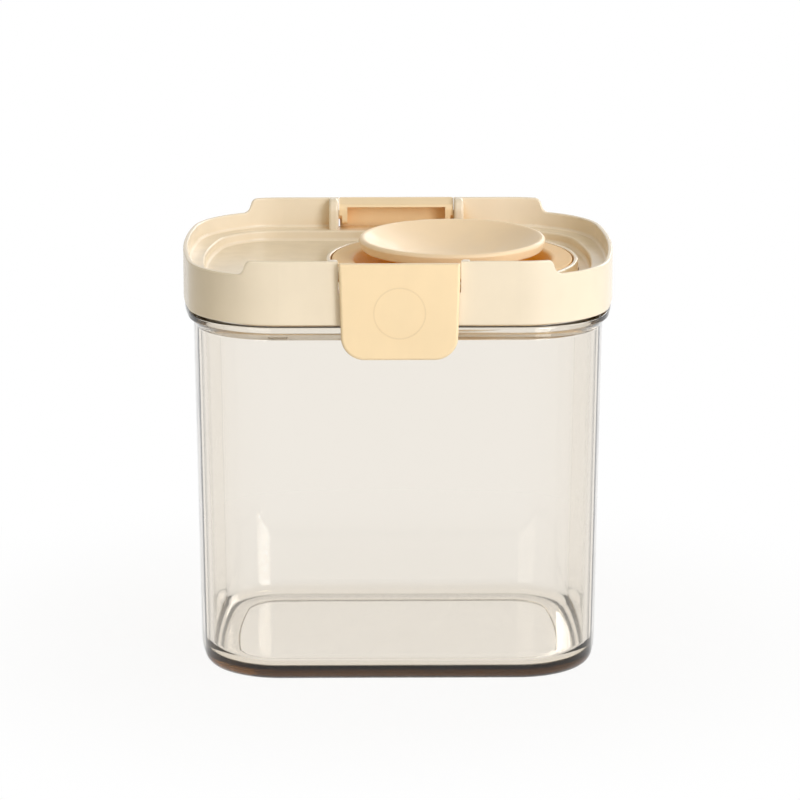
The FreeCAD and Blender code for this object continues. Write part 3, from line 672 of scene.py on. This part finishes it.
def build_world():
    """A white surround that lights the jar evenly and more weakly than it looks."""
    look = settings().stage
    world = bpy.data.worlds.new("Studio")
    world.use_nodes = True
    world.node_tree.nodes.clear()
    nodes = NodeTree(world.node_tree)
    seen = seen_directly(nodes)
    light = nodes.add("ShaderNodeBackground", {"Color": rgba(look.ambient_colour), "Strength": look.ambient})
    view = nodes.add("ShaderNodeBackground", {"Color": rgba(look.floor_colour), "Strength": 1.0})
    both = nodes.add("ShaderNodeMixShader", {0: seen, 1: light.outputs[0], 2: view.outputs[0]})
    nodes.add("ShaderNodeOutputWorld", {"Surface": both.outputs[0]})
    bpy.context.scene.world = world


def build_floor():
    """A white floor that keeps the jar's shadow and turns to plain white away from it."""
    look = settings().stage
    half = look.floor_size / 2
    mesh = bpy.data.meshes.new("Floor")
    corners = [(-half, -half, 0), (half, -half, 0), (half, half, 0), (-half, half, 0)]
    mesh.from_pydata(corners, [], [(0, 1, 2, 3)])
    floor = link(bpy.data.objects.new("Floor", mesh))
    floor.location.z = -FLOOR_DROP
    material, nodes, shader, output = start_material("White floor")
    set_inputs(shader, {
        "Base Color": rgba(look.floor_bounce),
        "Roughness": FLOOR_ROUGHNESS,
        "Specular IOR Level": FLOOR_GLOSS,
    })
    distance = nodes.length(nodes.place())
    white_share = nodes.ramped(distance, (SHADOW_WHITE_SHARE, 1.0), (SHADOW_START, look.shadow_reach))
    glow = nodes.add("ShaderNodeEmission", {"Color": rgba(look.floor_colour), "Strength": 1.0})
    share = nodes.math("MULTIPLY", seen_directly(nodes), white_share)
    mix = nodes.add("ShaderNodeMixShader", {0: share, 1: shader.outputs[0], 2: glow.outputs[0]})
    nodes.join(mix.outputs[0], output.inputs["Surface"])
    mesh.materials.append(material)


def build_camera():
    look = settings().stage
    data = bpy.data.cameras.new("Camera")
    data.sensor_width = SENSOR_WIDTH
    data.lens = look.camera_lens
    camera = link(bpy.data.objects.new("Camera", data))
    place = from_round(look.camera_target, look.camera_distance, look.camera_turn, look.camera_elevation)
    aim(camera, place, look.camera_target)
    bpy.context.scene.camera = camera


class STORAGE_JAR_OT_stage(Operator):
    """Set the floor, world, lamps and camera"""

    bl_idname = "storage_jar.stage"
    bl_label = "Stage"

    def execute(self, context):
        context.scene.view_settings.view_transform = "Standard"
        build_world()
        build_floor()
        for box in SOFT_BOXES:
            build_lamp(box)
        build_camera()
        return {"FINISHED"}


class STORAGE_JAR_PT_panel(Panel):
    """Lists the steps that finish the jar"""

    bl_idname = "STORAGE_JAR_PT_panel"
    bl_label = "Storage Jar"
    bl_space_type = "VIEW_3D"
    bl_region_type = "UI"
    bl_category = "Storage Jar"

    def draw(self, context):
        for operator in OPERATORS:
            self.layout.operator(operator.bl_idname)


GROUPS = (ClearPlasticSettings, MouldedPlasticSettings, SmallPartSettings, StageSettings, StorageJarSettings)
OPERATORS = (
    STORAGE_JAR_OT_jar, STORAGE_JAR_OT_lid, STORAGE_JAR_OT_latches, STORAGE_JAR_OT_small_parts,
    STORAGE_JAR_OT_stage,
)
CLASSES = (*GROUPS, *OPERATORS, STORAGE_JAR_PT_panel)


def register():
    for cls in CLASSES:
        bpy.utils.register_class(cls)
    bpy.types.Scene.storage_jar = PointerProperty(type=StorageJarSettings)


def unregister():
    del bpy.types.Scene.storage_jar
    for cls in reversed(CLASSES):
        bpy.utils.unregister_class(cls)


def main():
    register()
    bpy.ops.storage_jar.jar()
    bpy.ops.storage_jar.lid()
    bpy.ops.storage_jar.latches()
    bpy.ops.storage_jar.small_parts()
    bpy.ops.storage_jar.stage()


if __name__ == "__main__":
    main()
